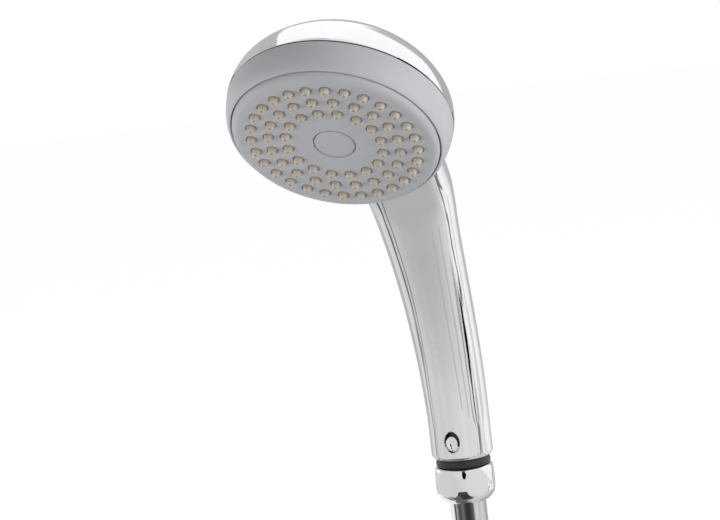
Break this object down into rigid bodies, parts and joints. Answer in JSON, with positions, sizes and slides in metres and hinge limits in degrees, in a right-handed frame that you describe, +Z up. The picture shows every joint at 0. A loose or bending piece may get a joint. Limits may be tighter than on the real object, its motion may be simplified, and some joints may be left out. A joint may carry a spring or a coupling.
{
  "type": "handheld shower head",
  "caption": "Handheld shower head with a round spray face, a curved chromed handle with an air hole, and the swivel nut and end sleeve of its hose.",
  "frame": {"origin": "centre of the handle's lower end face, where it meets the hose connector's collar", "axes": "+Z up the handle's straight lower axis, -Y forwards to the side the spray leaves, X across; X = 0 is the mirror plane"},
  "size_m": [0.0854, 0.1498, 0.2363],
  "materials": {
    "chrome": "bright chrome plate over moulded plastic or brass",
    "face_grey": "satin light grey moulded plastic",
    "nozzle_cream": "soft translucent cream silicone",
    "inner_white": "plain moulded plastic",
    "black_plastic": "satin black moulded plastic",
    "seal_black": "black rubber",
    "steel": "plain stainless steel",
    "brass": "plain turned brass"
  },
  "bodies": {
    "handset": {"handle_shell": "chrome", "spray_plate": "face_grey", "nozzle_mat": "nozzle_cream", "water_chamber": "inner_white", "chamber_seal": "seal_black", "plate_screws": "steel", "face_ring": "face_grey", "centre_screw": "steel", "screw_seal": "seal_black", "centre_cap": "face_grey", "mixing_tube": "inner_white", "tube_upper_oring": "seal_black", "tube_lower_oring": "seal_black", "air_mixer": "black_plastic", "jet_nozzle": "inner_white", "jet_oring": "seal_black", "hose_connector": "black_plastic", "connector_oring": "seal_black", "flow_regulator": "inner_white", "regulator_ring": "seal_black", "inlet_filter": "steel"},
    "hose_joint": {"hose_washer": "seal_black", "slip_ring": "inner_white"},
    "nut": {"swivel_nut": "chrome"},
    "hose_end": {"hose_tail": "brass", "hose_sleeve": "chrome"}
  },
  "joints": [
    {"name": "nut_travel", "type": "slide", "parent": "handset", "child": "hose_joint", "axis": [0, 0, -1], "range_m": [0, 0.0073]},
    {"name": "nut_turn", "type": "hinge", "parent": "hose_joint", "child": "nut", "pos_m": [0, 0, 0], "axis": [0, 0, -1], "range_deg": [0, 1440]},
    {"name": "hose_swivel", "type": "hinge", "parent": "hose_joint", "child": "hose_end", "pos_m": [0, 0, 0], "axis": [0, 0, 1], "continuous": true}
  ],
  "couplings": [
    {"joint": "nut_travel", "follows": "nut_turn", "m_per_rad": 0.0002887}
  ]
}
